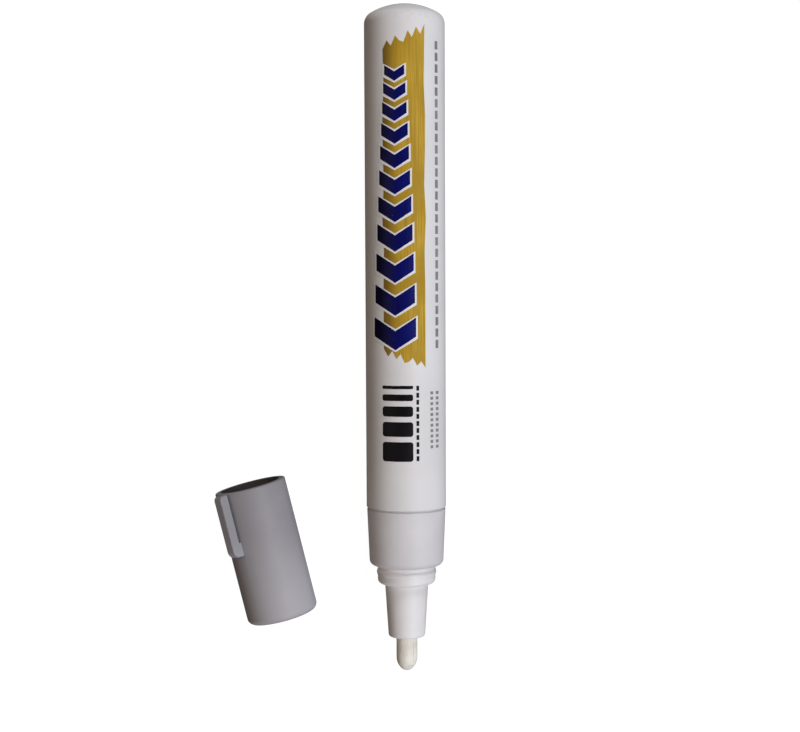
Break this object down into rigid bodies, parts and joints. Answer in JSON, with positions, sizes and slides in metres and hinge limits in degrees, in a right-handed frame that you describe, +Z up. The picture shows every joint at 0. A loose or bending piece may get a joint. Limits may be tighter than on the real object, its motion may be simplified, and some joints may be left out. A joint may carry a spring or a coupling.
{
  "type": "paint marker",
  "caption": "Valve-action paint marker lying on its side: round white metal barrel, tapered plastic nose, bullet fibre nib on a sprung valve, and its grey clip cap laid beside it.",
  "frame": {"origin": "on the marker's axis, in the plane of the barrel's open front rim", "axes": "+Y along the marker from the nib to the domed rear end, +Z up from the surface it lies on, +X away from the cap that lies beside it"},
  "size_m": [0.0436, 0.1251, 0.015],
  "materials": {
    "barrel_lacquer": "white gloss lacquer on drawn aluminium, printed",
    "gasket_rubber": "matt",
    "collar_plastic": "satin",
    "nose_plastic": "satin",
    "nib_fibre": "pressed fibre",
    "valve_plastic": "natural",
    "seal_rubber": "matt",
    "spring_steel": "bright wire",
    "ball_steel": "polished",
    "cap_plastic": "satin",
    "liner_plastic": "natural"
  },
  "bodies": {
    "marker": {"barrel": "barrel_lacquer", "barrel_gasket": "gasket_rubber", "collar": "collar_plastic", "nib_holder": "nose_plastic", "valve_housing": "valve_plastic", "spring_cage": "valve_plastic", "valve_spring": "spring_steel"},
    "nib": {"nib": "nib_fibre", "valve_stem": "valve_plastic", "stem_seal": "seal_rubber"},
    "ball": {"mixing_ball": "ball_steel"},
    "cap": {"cap_shell": "cap_plastic", "cap_liner": "liner_plastic"}
  },
  "joints": [
    {"name": "nib_press", "type": "slide", "parent": "marker", "child": "nib", "axis": [0, 1, 0], "range_m": [0, 0.0022], "stiffness_N_per_m": 400, "deforming": ["valve_spring"]},
    {"name": "ball_run", "type": "slide", "parent": "marker", "child": "ball", "axis": [0, 1, 0], "range_m": [0, 0.0677]},
    {"name": "cap_pull", "type": "slide", "parent": "marker", "child": "cap", "axis": [0.2379, -0.9713, 0], "range_m": [0, 0.0207]}
  ]
}
